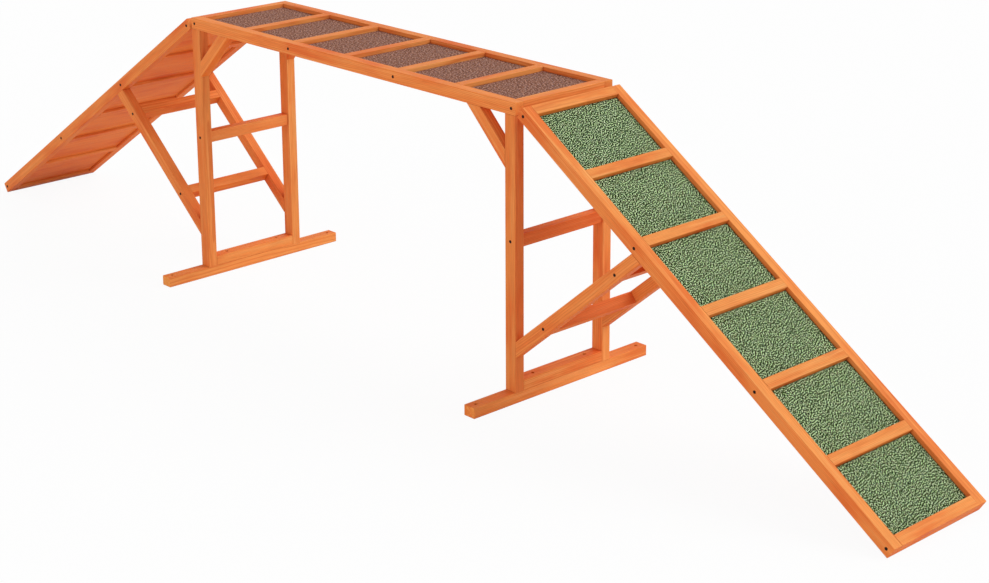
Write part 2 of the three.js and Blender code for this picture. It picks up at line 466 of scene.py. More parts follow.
class BayLayout(Effect):
    """Gives each batten of a board's floor, and each panel between two battens, a number of its own.

    Along the board, y is divided by the pitch. A batten lies at each whole number, half its width to
    each side, and has that number. A panel has the whole number below it plus the first panel's.
    """

    name = "bay_layout"
    takes = (("Along", "Float"), ("Pitch", "Float"), ("Half Batten", "Float"))
    gives = ("Number",)
    slack = 1.02
    first_panel = 20.5

    def build(self) -> None:
        """Links the place along the board to the number."""
        g = self.graph
        bays = g.maths("DIVIDE", self.taken("Along"), self.taken("Pitch"))
        nearest = g.maths("ROUND", bays)
        away = g.maths("ABSOLUTE", g.maths("SUBTRACT", bays, nearest))
        reach = g.maths("DIVIDE", self.taken("Half Batten"), self.taken("Pitch"))
        batten = g.maths("LESS_THAN", away, g.maths("MULTIPLY", reach, self.slack))
        panel = g.maths("ADD", g.maths("FLOOR", bays), self.first_panel)
        panel = g.maths("MULTIPLY", panel, g.maths("SUBTRACT", 1.0, batten))
        self.give("Number", g.maths("MULTIPLY_ADD", batten, nearest, panel))


class Grit(Effect):
    """Stone chips bedded in bitumen: a random tone to each chip, dark gaps between them, heaped in lumps.

    Tone = heap share * height of the lump + the rest * the chip's own. Height of the lump = noise at
    the point - evenness * mean noise at four places round it in the sheet's plane, less that mean's
    middle. An evenness of 1 leaves no broad patches. The point is first turned askew, so that neither
    pattern lines up with the sides of a sheet.
    """

    name = "grit"
    takes = (("Place", "Vector"), ("Chips", "Float"), ("Lumps", "Float"), ("Evenness", "Float"))
    gives = ("Tone", "Tint", "Gap", "Height")
    askew = (0.0, 0.0, 0.61)
    ring = 0.8
    around = ((ring, 0.0, 0.0), (0.0, ring, 0.0), (-ring, 0.0, 0.0), (0.0, -ring, 0.0))
    heaps = (0.543, 0.568)
    heap_share = 0.7
    gaps = (0.02, 0.16)

    def build(self) -> None:
        """Links place, chips and lumps per metre and evenness to tone, tint, gap and height."""
        g = self.graph
        turned = g.fill(g.add("Mapping"), Vector=self.taken("Place"), Rotation=self.askew).outputs[0]
        cells, edges = (
            g.fill(g.add("TexVoronoi", feature=feature), Vector=turned, Scale=self.taken("Chips")).outputs
            for feature in ("F1", "DISTANCE_TO_EDGE")
        )
        spot = g.vector("MULTIPLY", turned, self.taken("Lumps"))
        share = g.maths("MULTIPLY", self.taken("Evenness"), -1 / len(self.around))
        level = g.noise(spot, EVEN, 0.0)
        for step in self.around:
            nearby = g.noise(g.vector("ADD", spot, step), EVEN, 0.0)
            level = g.maths("MULTIPLY_ADD", g.maths("SUBTRACT", nearby, 0.5), share, level)
        heap = g.soft_step(level, *self.heaps)
        chip = g.fill(g.add("SeparateColor"), Color=cells["Color"]).outputs
        gap = g.soft_step(edges["Distance"], *self.gaps, 1.0, 0.0)
        own = g.maths("MULTIPLY", chip["Red"], 1 - self.heap_share)
        self.give("Tone", g.maths("MULTIPLY_ADD", heap, self.heap_share, own))
        self.give("Tint", chip["Green"])
        self.give("Gap", gap)
        self.give("Height", g.maths("SUBTRACT", g.maths("ADD", chip["Blue"], heap), gap))


# Studio


@dataclass(frozen=True)
class Studio:
    """Floor, light and camera of the picture.

    The camera stands where the photograph's did and looks along its gaze, with down pointing to the
    picture's lower edge. Its lens and shift give the photograph's frame of 989 by 583. Softness is the
    lamps' width in degrees. The floor lies by its drop below the feet, and its glow is the share of
    plain white that the camera sees in it.
    """

    eye: Triple = (4.0303, -3.3522, 1.9703)
    gaze: Triple = (-0.709375, 0.653047, -0.265172)
    down: Triple = (0.191335, -0.183672, -0.964186)
    lens: float = 74.155
    shift: Span = (0.006392, -0.162792)
    sky: float = 0.51
    key: float = 1.60
    key_from: Triple = (0.525, 0.525, 0.669)
    fill: float = 0.64
    fill_from: Triple = (0.0, -0.966, 0.259)
    softness: float = 40.0
    floor_span: float = 60.0
    floor_drop: float = 0.0002
    floor_shade: float = 0.9
    floor_glow: float = 0.94

    def set_camera(self) -> None:
        """Makes the camera and hands it to the scene."""
        data = bpy.data.cameras.new("camera")
        data.lens = self.lens
        data.shift_x, data.shift_y = self.shift
        camera = bpy.data.objects.new("camera", data)
        back, up = -Vector(self.gaze).normalized(), -Vector(self.down).normalized()
        turn = Matrix((up.cross(back), up, back)).transposed().to_4x4()
        camera.matrix_world = Matrix.Translation(Vector(self.eye)) @ turn
        bpy.context.scene.collection.objects.link(camera)
        bpy.context.scene.camera = camera

    def set_light(self) -> None:
        """Makes an even white sky, a broad soft lamp from the right rear and a weaker one from the front."""
        world = bpy.data.worlds.new("sky")
        world.use_nodes = True
        bpy.context.scene.world = world
        g = Graph(world.node_tree)
        strength = g.maths("MULTIPLY_ADD", self.seen(g), 1.0 - self.sky, self.sky)
        g.fill(world.node_tree.nodes["Background"], Color=WHITE, Strength=strength)
        for name, level, source in (("key", self.key, self.key_from), ("fill", self.fill, self.fill_from)):
            data = bpy.data.lights.new(name, "SUN")
            data.energy = level
            data.angle = math.radians(self.softness)
            lamp = bpy.data.objects.new(name, data)
            lamp.rotation_euler = Vector(source).to_track_quat("Z", "Y").to_euler()
            bpy.context.scene.collection.objects.link(lamp)

    @staticmethod
    def seen(g: Graph) -> Socket:
        """The share of a ray that shows the plain white background: as the camera sees it, also in a shine.

        Args:
            g: The tree to build in.

        Returns:
            A socket that is 1 for camera, mirrored and let-through rays and 0 for the rest.
        """
        path = g.add("LightPath").outputs
        mirrored = g.maths("MAXIMUM", path["Is Glossy Ray"], path["Is Transmission Ray"])
        return g.maths("MAXIMUM", path["Is Camera Ray"], mirrored)

    def set_floor(self) -> None:
        """Lays a pale floor that keeps a light shadow, and that is clear when looked at from below."""
        half, z = self.floor_span / 2, -self.floor_drop
        mesh = bpy.data.meshes.new("floor")
        corners = [(-half, -half, z), (half, -half, z), (half, half, z), (-half, half, z)]
        mesh.from_pydata(corners, [], [(0, 1, 2, 3)])
        material = bpy.data.materials.new("floor")
        material.use_nodes = True
        g = Graph(material.node_tree)
        nodes = material.node_tree.nodes
        nodes.remove(nodes["Principled BSDF"])
        shade = g.fill(g.add("BsdfDiffuse"), Color=(self.floor_shade,) * 3 + (1.0,))
        glow = g.fill(g.add("Emission"), Strength=1.0)
        glowing = g.maths("MULTIPLY", self.seen(g), self.floor_glow)
        below = g.add("NewGeometry").outputs["Backfacing"]
        surface = shade.outputs[0]
        for share, shader in ((glowing, glow), (below, g.add("BsdfTransparent"))):
            mix = g.add("MixShader")
            for socket, value in zip(mix.inputs, (share, surface, shader.outputs[0])):
                g.feed(socket, value)
            surface = mix.outputs[0]
        g.feed(nodes["Material Output"].inputs["Surface"], surface)
        mesh.materials.append(material)
        floor = bpy.data.objects.new("floor", mesh)
        bpy.context.scene.collection.objects.link(floor)


# Measures of the frame


def points_of(piece: bpy.types.Object) -> Array:
    """The piece's vertices as an array.

    Args:
        piece: The piece.

    Returns:
        One row of x, y and z to each vertex.
    """
    points = np.empty(len(piece.data.vertices) * 3, np.float32)
    piece.data.vertices.foreach_get("co", points)
    return points.reshape(-1, 3).astype(float)


@dataclass(frozen=True)
class Lie:
    """How a timber lies: its centre and its own axes, the first along its grain.

    A timber counts as lying across the walkway where its grain has more than the across share of Y.
    """

    centre: Vector
    along: Vector
    side: Vector
    across: ClassVar[float] = 0.5

    @property
    def up(self) -> Vector:
        """The third axis, square to the other two."""
        return self.along.cross(self.side)

    @property
    def turn(self) -> Matrix:
        """The turn from the timber's own axes to the frame's."""
        return Matrix((self.along, self.side, self.up)).transposed()

    @property
    def slope(self) -> float:
        """The slope of a timber that runs along the walkway: the arc tangent of |z| / |x| of its grain."""
        return math.atan2(abs(self.along.z), abs(self.along.x))

    @property
    def is_across(self) -> bool:
        """Whether the timber lies across the walkway."""
        return abs(self.along.y) > self.across

    def out(self, points: Array) -> Array:
        """Carries points from the timber's own axes to the frame: centre + points times the axes."""
        return points @ np.array(self.turn).T + np.array(self.centre)

    @classmethod
    def of(cls, piece: bpy.types.Object) -> "Lie":
        """Finds how a long straight timber lies.

        The grain runs along the main axis of the spread of its points: the eigenvector of their
        covariance with the greatest eigenvalue. The centre is midway between the extreme points.

        Args:
            piece: The timber's object.

        Returns:
            Its lie.
        """
        points = points_of(piece)
        spread = np.cov((points - points.mean(0)).T)
        along = np.linalg.eigh(spread)[1][:, -1]
        along = along * np.sign(along[np.argmax(np.abs(along))])
        side = np.array([1.0, 0.0, 0.0] if abs(along[1]) > cls.across else [0.0, 1.0, 0.0])
        axes = np.stack([along, side, np.cross(along, side)])
        own = points @ axes.T
        centre = (own.min(0) + own.max(0)) / 2 @ axes
        return cls(Vector(centre), Vector(along), Vector(side))


@dataclass(frozen=True)
class Bays:
    """The bays of a board: how many, their pitch along the board and the thickness of its battens."""

    count: int
    pitch: float
    batten: float

    @classmethod
    def of(cls, board: str, nodes: Nodes) -> "Bays":
        """Measures a board, whose battens and rails are of one stock: pitch = (length - batten) / count.

        Args:
            board: The board's word in node names.
            nodes: The frame's objects by name.

        Returns:
            Its bays, one to each sheet of felt.
        """
        rail = nodes[board + "_rail_front"]
        length = float(np.ptp(points_of(rail) @ np.array(Lie.of(rail).along)))
        batten = float(np.ptp(points_of(rail)[:, 1]))
        count = sum(node.startswith(board + "_felt_") for node in nodes)
        return cls(count, (length - batten) / count, batten)


# Finishes


def new_material(name: str) -> tuple[bpy.types.Material, Graph, bpy.types.Node]:
    """Makes a material with a plain shader.

    Args:
        name: The material's name.

    Returns:
        The material, its graph and its Principled shader.
    """
    material = bpy.data.materials.new(name)
    material.use_nodes = True
    return material, Graph(material.node_tree), material.node_tree.nodes["Principled BSDF"]


@dataclass(frozen=True)
class StainedTimber:
    """Orange wood stain on planed softwood, satin where the wood is dense and duller in soft stripes.

    The colours after the first five are factors that tinge the stain: painted shade in corners, the ends'
    stain, and painted light, painted shade and painted underside shade by which way a face looks. The fifth
    colour is that of worn arrises, with a painted highlight. Each span of a mask says where on the noise or
    angle it rises, and each share how strong it gets.
    """

    grain: TimberGrain
    edge: WornEdge
    pool: PooledStain
    layout: BayLayout
    bleach: Bleach
    main: Colour = paint(243, 142, 71)
    red: Colour = paint(232, 111, 50)
    pale: Colour = paint(250, 166, 94)
    late: Colour = paint(216, 98, 43)
    # paler arrises: partly wear, partly a painted highlight
    worn: Colour = paint(252, 174, 105)
    # painted shade in corners, joints and recesses
    sink: Colour = (0.58, 0.46, 0.44, 1.0)
    end_stain: Colour = (0.98, 0.92, 0.86, 1.0)
    foot_end_stain: Colour = (1.10, 1.34, 1.24, 1.0)
    # painted light on faces that look to the light, painted shade on those in a timber's shelter, and
    # painted shade, redder, on faces that look down
    paling: Colour = (1.03, 1.27, 1.43, 1.0)
    shading: Colour = (0.95, 0.80, 0.82, 1.0)
    underside: Colour = (1.02, 0.86, 0.56, 1.0)
    # where the painted light comes from
    sunny: Triple = (0.86, 0.20, 0.47)
    red_patches: Span = (0.44, 0.72)
    pale_streaks: Span = (0.48, 0.72)
    pale_share: float = 0.55
    red_streaks: Span = (0.26, 0.46)
    red_share: float = 0.45
    late_share: float = 0.48
    fibres: Span = (0.3, 0.7)
    fibre_shades: Span = (0.91, 1.07)
    tones: Span = (0.95, 1.04)
    ends: Span = (0.6, 0.9)
    worn_share: float = 0.42
    sink_share: float = 0.5
    rough_fibres: Span = (0.25, 0.75)
    roughness: Span = (0.50, 0.64)
    late_shine: float = 0.07
    gloss: float = 0.08
    bump: float = 0.00016
    edge_reach: float = 0.0014
    pool_reach: float = 0.0036
    pith_aside: Span = (-0.05, 0.05)
    pith_away: Span = (0.012, 0.05)
    ring_widths: Span = (0.0026, 0.0042)

    def coat(
        self, piece: bpy.types.Object, lie: Lie, seed: int, shelter: float = 0.0, bays: Bays | None = None
    ) -> None:
        """Gives a timber its own stained material.

        Args:
            piece: The timber, or a board's floor.
            lie: How it lies.
            seed: A number that sets its grain apart from the others'.
            shelter: How far the timber lies out of the light, 0 to 1, which turns its painted light to
                painted shade.
            bays: The bays if it is a floor, whose grain runs across the board.
        """
        material, g, shader = new_material(piece.name + "_stain")
        dice = np.random.default_rng(seed)
        source = g.add("TexCoord").outputs
        centre = g.add("Mapping", vector_type="TEXTURE")
        g.fill(centre, Vector=source["Object"], Location=lie.centre, Rotation=lie.turn.to_euler())
        place = centre.outputs[0]
        number: Feed = float(seed)
        if bays:
            along = g.fill(g.add("SeparateXYZ"), Vector=place).outputs["Y"]
            layout = self.layout.placed(g, Along=along, Pitch=bays.pitch, Half_Batten=bays.batten / 2)
            number = g.maths("ADD", layout["Number"], number)
        aside, away = float(dice.uniform(*self.pith_aside)), float(dice.uniform(*self.pith_away))
        pith = (0.0, aside, away * float(dice.choice((-1, 1))))
        ring_width = float(dice.uniform(*self.ring_widths))
        grain = self.grain.placed(g, Place=place, Seed=number, Pith=pith, Ring_Width=ring_width)
        colour = self.stained(g, grain, float(dice.uniform(*self.tones)))
        colour = self.weathered(g, colour, source["Normal"], lie, shelter)
        # Paler arrises, partly wear and partly a painted highlight.
        worn = self.edge.placed(g, Place=place, Reach=self.edge_reach)["Mask"]
        colour = g.blend(g.maths("MULTIPLY", worn, self.worn_share), colour, self.worn)
        # Painted shade: a darker, redder colour in corners, joints and recesses.
        corner_shaded = self.pool.placed(g, Reach=self.pool_reach)["Mask"]
        colour = g.blend(g.maths("MULTIPLY", corner_shaded, self.sink_share), colour, self.sink, "MULTIPLY")
        rough = g.soft_step(grain["Fibre"], *self.rough_fibres, *self.roughness)
        rough = g.maths("SUBTRACT", rough, g.maths("MULTIPLY", grain["Late"], self.late_shine))
        g.fill(shader, Base_Color=colour, Roughness=rough, Specular_IOR_Level=self.gloss)
        g.relief(shader, grain["Height"], self.bump)
        piece.data.materials.clear()
        piece.data.materials.append(material)

    def stained(self, g: Graph, grain: bpy.types.NodeOutputs, tone: float) -> Socket:
        """The colour of fresh stain on the grain: patches, then streaks, late wood and fibres.

        Args:
            g: The timber's graph.
            grain: The outputs of its grain.
            tone: How light this timber is, about 1.

        Returns:
            The colour's socket.
        """
        colour = g.blend(g.soft_step(grain["Patch"], *self.red_patches), self.main, self.red)
        pale = g.soft_step(grain["Streak"], *self.pale_streaks, 0.0, self.pale_share)
        colour = g.blend(pale, colour, self.pale)
        red = g.soft_step(grain["Streak"], *self.red_streaks, self.red_share, 0.0)
        colour = g.blend(red, colour, self.red)
        colour = g.blend(g.maths("MULTIPLY", grain["Late"], self.late_share), colour, self.late)
        dark, light = self.fibre_shades
        return g.scaled(colour, g.soft_step(grain["Fibre"], *self.fibres, dark * tone, light * tone))

    def weathered(self, g: Graph, colour: Socket, normal: Socket, lie: Lie, shelter: float) -> Socket:
        """The stain's colour with painted light and shade by which way a face looks, and with its ends
        tinged. Only the feet show their ends across the walkway.

        Args:
            g: The timber's graph.
            colour: The fresh stain.
            normal: The face's normal.
            lie: How the timber lies.
            shelter: How far it lies out of the light, 0 to 1.

        Returns:
            The colour's socket.
        """
        # Painted light and shade, by which way each face looks.
        light = self.bleach.placed(g, Normal=normal, Sunny=self.sunny, Shelter=shelter)
        for mask, tinge in (("Paled", self.paling), ("Shaded", self.shading), ("Under", self.underside)):
            colour = g.blend(light[mask], colour, tinge, "MULTIPLY")
        facing = g.maths("ABSOLUTE", g.vector("DOT_PRODUCT", normal, lie.along))
        tinge = self.foot_end_stain if lie.is_across else self.end_stain
        return g.blend(g.soft_step(facing, *self.ends), colour, tinge, "MULTIPLY")


@dataclass(frozen=True)
class GritFelt:
    """Bitumen felt with a coat of stone chips, in one of two colours.

    Tones run from the dark gaps to the lightest chips. Chips and lumps are counted per metre. Where the
    sheet meets the frame, its rim gets painted shade.
    """

    grit: Grit
    pool: PooledStain
    nap: Nap
    tones: tuple[Colour, ...]
    tints: tuple[Colour, Colour]
    lumps: float
    evenness: float
    slope: float = 0.0
    chips: float = 620.0
    tint_share: float = 0.03
    gap_share: float = 0.15
    # painted shade along the rim, where the sheet meets the frame
    rim_share: float = 0.9
    rim_reach: float = 0.006
    rim_dirt: Colour = (0.30, 0.24, 0.18, 1.0)
    roughness: Span = (0.95, 0.8)
    gloss: float = 0.04
    bump: float = 0.0003

    def build(self) -> bpy.types.Material:
        """Makes the felt's material, which all sheets of one colour share.

        Returns:
            The material.
        """
        material, g, shader = new_material(self.nap.value)
        grit = self.grit.placed(
            g, Place=self.in_plane(g), Chips=self.chips, Lumps=self.lumps, Evenness=self.evenness
        )
        colour = g.ramp(grit["Tone"], self.tones)
        colour = g.blend(g.maths("GREATER_THAN", grit["Tint"], 1 - self.tint_share), colour, self.tints[0])
        colour = g.blend(g.maths("LESS_THAN", grit["Tint"], self.tint_share), colour, self.tints[1])
        colour = g.blend(g.maths("MULTIPLY", grit["Gap"], self.gap_share), colour, self.tones[0])
        # Painted shade along the rim, where the sheet meets the frame.
        rim = g.maths("MULTIPLY", self.pool.placed(g, Reach=self.rim_reach)["Mask"], self.rim_share)
        colour = g.blend(rim, colour, self.rim_dirt, "MULTIPLY")
        rough = g.soft_step(grit["Tone"], 0.0, 1.0, *self.roughness)
        g.fill(shader, Base_Color=colour, Roughness=rough, Specular_IOR_Level=self.gloss)
        g.relief(shader, grit["Height"], self.bump)
        return material

    def in_plane(self, g: Graph) -> Socket:
        """The point laid into the plane of the sheets, for the left and right ramp alike.

        Down the slope it is |x| * cos(slope) - z * sin(slope), and across it is y.

        Args:
            g: The felt's graph.

        Returns:
            The point's socket.
        """
        point = g.fill(g.add("SeparateXYZ"), Vector=g.add("TexCoord").outputs["Object"]).outputs
        down = g.maths("MULTIPLY", g.maths("ABSOLUTE", point["X"]), math.cos(self.slope))
        down = g.maths("MULTIPLY_ADD", point["Z"], -math.sin(self.slope), down)
        return g.fill(g.add("CombineXYZ"), X=down, Y=point["Y"]).outputs[0]


@dataclass(frozen=True)
class Metal:
    """A plated or blackened steel, with a cloudy plating and fine scratches along Y.

    From the lightest to the deepest scratch, its roughness runs from smoother to rougher than its own.
    """

    name: str
    bright: Colour
    dull: Colour
    roughness: float
    metallic: float = 1.0
    gloss: float = 0.5
    cloud_waves: Triple = (160.0, 160.0, 160.0)
    clouds: Span = (0.35, 0.65)
    scratch_waves: Triple = (2600.0, 90.0, 2600.0)
    scratches: Span = (0.3, 0.7)
    smoother: float = 0.08
    rougher: float = 0.12
    bump: float = 0.00003

    def build(self) -> bpy.types.Material:
        """Makes the metal's material.

        Returns:
            The material.
        """
        material, g, shader = new_material(self.name)
        place = g.add("TexCoord").outputs["Object"]
        cloud = g.soft_step(g.noise(place, self.cloud_waves, 4), *self.clouds)
        scratch = g.noise(place, self.scratch_waves, 2)
        low, high = self.roughness - self.smoother, self.roughness + self.rougher
        g.fill(
            shader,
            Base_Color=g.blend(cloud, self.bright, self.dull),
            Roughness=g.soft_step(scratch, *self.scratches, low, high),
            Metallic=self.metallic,
            Specular_IOR_Level=self.gloss,
        )
        g.relief(shader, scratch, self.bump)
        return material


@dataclass(frozen=True)
class Finishes:
    """Every finish of the bridge."""

    timber: StainedTimber
    felt: dict[Nap, bpy.types.Material]
    zinc: bpy.types.Material
    black: bpy.types.Material

    @classmethod
    def make(cls, ramp_slope: float) -> "Finishes":
        """Builds the node groups and the shared materials once.

        Args:
            ramp_slope: The slope of the ramps, in radians.

        Returns:
            The finishes.
        """
        grit, pool = Grit(), PooledStain()
        green = ((5, 17, 1), (24, 44, 12), (110, 146, 80), (202, 241, 163), (240, 255, 216))
        brown = ((107, 70, 56), (151, 103, 86), (173, 121, 102), (192, 142, 121), (211, 166, 146))
        felts = (
            GritFelt(
                grit,
                pool,
                Nap.GREEN,
                tones=tuple(paint(*tone) for tone in green),
                tints=(paint(130, 172, 138), paint(168, 160, 124)),
                lumps=265.0,
                evenness=0.7,
                slope=ramp_slope,
            ),
            GritFelt(
                grit,
                pool,
                Nap.BROWN,
                tones=tuple(paint(*tone) for tone in brown),
                tints=(paint(138, 132, 146), paint(196, 120, 84)),
                lumps=200.0,
                evenness=0.0,
            ),
        )
        # Black screw heads: a dark screw colour that also stands in, as painted shade, for the shade in the
        # sunk holes they sit in.
        black, dark = (0.020, 0.013, 0.010, 1.0), (0.010, 0.007, 0.006, 1.0)
        return cls(
            StainedTimber(TimberGrain(), WornEdge(), pool, BayLayout(), Bleach()),
            {felt.nap: felt.build() for felt in felts},
            Metal("zinc", (0.66, 0.68, 0.69, 1.0), (0.52, 0.54, 0.56, 1.0), roughness=0.36).build(),
            Metal("black_screw", black, dark, roughness=0.55, metallic=0.0, gloss=0.1).build(),
        )


# Pieces


def add_piece(
    name: str, points: Array, faces: list[list[int]], material: bpy.types.Material, body: str
) -> bpy.types.Object:
    """Makes a piece whose place is in its mesh, and hands it to its body.

    Args:
        name: The piece's name.
        points: Its vertices in the frame.
        faces: Its faces, each a list of vertex numbers.
        material: Its material.
        body: The body it rides on.

    Returns:
        The piece.
    """
    mesh = bpy.data.meshes.new(name)
    mesh.from_pydata(points.tolist(), [], faces)
    mesh.materials.append(material)
    mesh.validate()
    piece = bpy.data.objects.new(name, mesh)
    bpy.context.scene.collection.objects.link(piece)
    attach(piece, body)
    return piece


def grid_faces(rows: int, columns: int, closed: bool = False) -> Array:
    """The quads of a grid of points that is stored row by row.

    Each quad is (i, j), (i, j + 1), (i + 1, j + 1), (i + 1, j), with j + 1 taken round if closed.

    Args:
        rows: Rows of points.
        columns: Points in each row.
        closed: Whether each row closes on itself.

    Returns:
        One row of four vertex numbers to each quad.
    """
    i, j = np.meshgrid(np.arange(rows - 1), np.arange(columns if closed else columns - 1), indexing="ij")
    after = (j + 1) % columns
    corners = [i * columns + j, i * columns + after, (i + 1) * columns + after, (i + 1) * columns + j]
    return np.stack(corners, -1).reshape(-1, 4)


def make_faces_point_outwards(piece: bpy.types.Object) -> None:
    """Turns a closed mesh right side out if its signed volume is negative.

    The volume is the sum, over the triangles, of a . (b x c) / 6.

    Args:
        piece: A closed piece.
    """
    mesh = piece.data
    mesh.calc_loop_triangles()
    corners = np.empty(len(mesh.loop_triangles) * 3, np.int32)
    mesh.loop_triangles.foreach_get("vertices", corners)
    a, b, c = points_of(piece)[corners.reshape(-1, 3)].transpose(1, 0, 2)
    if (a * np.cross(b, c)).sum() < 0:
        mesh.flip_normals()


@dataclass
class GritSheet:
    """A sheet of grit felt let in between two battens, which replaces its plain CAD sheet.

    The top is a grid of points at the spacing of the chips. Each point (u, v) is moved sideways by a
    random share of the spacing, and its height is the sheet's + a slow wave + a random chip height.
    The wave is sin(pi * (a * u + b)) * sin(pi * (c * v + d)), calmed by 1 - m ** 4, where m is 0 in
    the middle and 1 at the rim. The rim itself lies low and wanders inwards a little.
    """

    node: str
    lie: Lie
    body: str
    nap: Nap
    seed: int
    rests_on: str
    spacing: float = 0.0018
    jitter: float = 0.34
    chip: float = 0.0005
    chip_spread: Span = (1.6, 2.2)
    rim_drop: float = 0.9
    swell: float = 0.0004
    swells: Span = (2.3, 1.7)
    swell_starts: Span = (0.37, 0.5)
    ragged: float = 0.0005
    rags: Span = (31.0, 27.0)

    def make(self, source: bpy.types.Object, material: bpy.types.Material) -> None:
        """Builds the sheet where the CAD sheet lies.

        Args:
            source: The CAD sheet.
            material: The felt's material.
        """
        own = (points_of(source) - np.array(self.lie.centre)) @ np.array(self.lie.turn)
        low, high = own.min(0), own.max(0)
        top = self.top(low, high)
        rows, columns = top.shape[:2]
        ring = self.ring(rows, columns)
        top = top.reshape(-1, 3)
        base = top[ring] * (1, 1, 0) + (0, 0, low[2])
        below = len(top) + np.arange(len(ring))
        sides = np.stack([ring, np.roll(ring, -1), np.roll(below, -1), below], -1)
        faces = grid_faces(rows, columns)[:, ::-1].tolist() + sides.tolist() + [below.tolist()]
        points = self.lie.out(np.vstack([top, base]))
        sheet = add_piece(self.node + "_grit", points, faces, material, self.body)
        make_faces_point_outwards(sheet)
        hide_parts(self.node)

    def top(self, low: Array, high: Array) -> Array:
        """The points of the sheet's top on its own axes, by the class's formula.

        Args:
            low: The CAD sheet's least coordinates.
            high: Its greatest.

        Returns:
            Rows, columns and the three coordinates of each point.
        """
        span = high - low
        dice = np.random.default_rng(self.seed)
        rows, columns = (int(round(span[k] / self.spacing)) + 1 for k in (0, 1))
        u, v = np.meshgrid(np.linspace(0, 1, rows), np.linspace(0, 1, columns), indexing="ij")
        shift = dice.uniform(-self.jitter, self.jitter, (2, rows, columns)) * self.spacing
        ends, edges = (u == 0) | (u == 1), (v == 0) | (v == 1)
        rim = ends | edges
        rags = np.sin(u * self.rags[0] + self.seed) * np.cos(v * self.rags[1] + self.seed)
        wander = self.ragged * (rags - 1) / 2
        across = low[0] + u * span[0] + np.where(rim, wander * np.sign(u - 0.5) * ends, shift[0])
        along = low[1] + v * span[1] + np.where(rim, wander * np.sign(v - 0.5) * edges, shift[1])
        wave = self.swell * np.sin(math.pi * (self.swells[0] * u + self.swell_starts[0] * self.seed))
        wave = wave * np.sin(math.pi * (self.swells[1] * v + self.swell_starts[1]))
        calm = 1 - np.maximum(abs(2 * u - 1), abs(2 * v - 1)) ** 4
        chips = self.chip * dice.beta(*self.chip_spread, (rows, columns))
        height = high[2] - self.chip / 2 + wave * calm + chips
        return np.stack([across, along, np.where(rim, high[2] - self.chip * self.rim_drop, height)], -1)

    @staticmethod
    def ring(rows: int, columns: int) -> Array:
        """The numbers of a grid's rim points, once round.

        Args:
            rows: Rows of points.
            columns: Points in each row.

        Returns:
            The rim's vertex numbers in order.
        """
        numbers = np.arange(rows * columns).reshape(rows, columns)
        return np.concatenate([numbers[0, :-1], numbers[:-1, -1], numbers[-1, :0:-1], numbers[:0:-1, 0]])


@dataclass(frozen=True)
class ScrewHead:
    """A low pan head with a cross recess.

    In polar steps (r, t), the face's height is rim + rise * (1 - (r / radius) ** 2) - recess * c. The
    cross c is arm fade - d / arm, kept from 0 to 1, where d is the distance from the nearer centre
    line, and it ends where r passes the arms' reach.
    """

    radius: float = 0.0038
    rim: float = 0.0006
    rise: float = 0.0008
    skirt: float = 0.0012
    arm: float = 0.0007
    arm_reach: float = 0.0027
    arm_fade: float = 1.6
    recess: float = 0.0011
    first_ring: float = 0.04
    turns: int = 32
    rings: int = 7

    def points(self) -> Array:
        """The head's points about its own axis Z, with the wood's surface at 0.

        Returns:
            One row of x, y and z to each point, ring by ring from the middle out.
        """
        shares = np.concatenate([np.linspace(self.first_ring, 1.0, self.rings), [1.0]])
        r = shares[:, None] * self.radius
        t = np.linspace(0, 2 * math.pi, self.turns, endpoint=False)[None, :]
        x, y = r * np.cos(t), r * np.sin(t)
        near = np.minimum(np.abs(x), np.abs(y)) / self.arm
        arms = np.clip(self.arm_fade - near, 0, 1) * np.clip((self.arm_reach - r) / self.arm + 1, 0, 1)
        z = self.rim + self.rise * (1 - (r / self.radius) ** 2) * np.ones_like(t) - self.recess * arms
        z[-1] = -self.skirt
        return np.stack([x, y, z], -1).reshape(-1, 3)

    def faces(self) -> list[list[int]]:
        """The head's quads, its recess floor and its underside.

        Returns:
            The point numbers of each face.
        """
        body = grid_faces(self.rings + 1, self.turns, closed=True).tolist()
        inner = np.arange(self.turns)
        outer = inner + self.rings * self.turns
        return body + [inner[::-1].tolist(), outer.tolist()]


@dataclass
class ScrewRow:
    """Screws that are driven into one timber or hinge leaf."""

    name: str
    places: Array
    facing: Vector
    body: str
    slot: str
    head: ScrewHead = ScrewHead()

    def make(self, material: bpy.types.Material) -> None:
        """Builds all heads as one piece, each turned by its own angle.

        Args:
            material: The screws' material.
        """
        base = self.head.points()
        turn = np.array(self.facing.to_track_quat("Z", "Y").to_matrix())
        angles = np.random.default_rng(len(self.name)).uniform(0, math.pi / 2, len(self.places))
        cos, sin = np.cos(angles)[:, None], np.sin(angles)[:, None]
        x = base[None, :, 0] * cos - base[None, :, 1] * sin
        y = base[None, :, 0] * sin + base[None, :, 1] * cos
        z = np.broadcast_to(base[None, :, 2], x.shape)
        points = np.stack([x, y, z], -1) @ turn.T + np.asarray(self.places)[:, None, :]
        faces = [
            [corner + number * len(base) for corner in face]
            for number in range(len(self.places))
            for face in self.head.faces()
        ]
        piece = add_piece(self.name, points.reshape(-1, 3), faces, material, self.body)
        make_faces_point_outwards(piece)


def drive_side_screws(timber: str, middles: Array, body: str, nodes: Nodes, finishes: Finishes) -> None:
    """Drives black screws into the outer faces of a front and a rear timber.

    Args:
        timber: The two timbers' name without the side's word.
        middles: The point that each screw is level with, of which y is not used.
        body: The body that the timbers are in.
        nodes: The frame's objects by name.
        finishes: The bridge's finishes.
    """
    for side in Side:
        reach = points_of(nodes[f"{timber}_{side.word}"])[:, 1]
        face = reach[np.argmax(reach * side.value)]
        places = middles * (1, 0, 1) + (0, face, 0)
        name = f"{timber}_{side.word}_screw" + ("s" if len(places) > 1 else "")
        ScrewRow(name, places, side.facing, body, "timber").make(finishes.black)


# Sub-assemblies


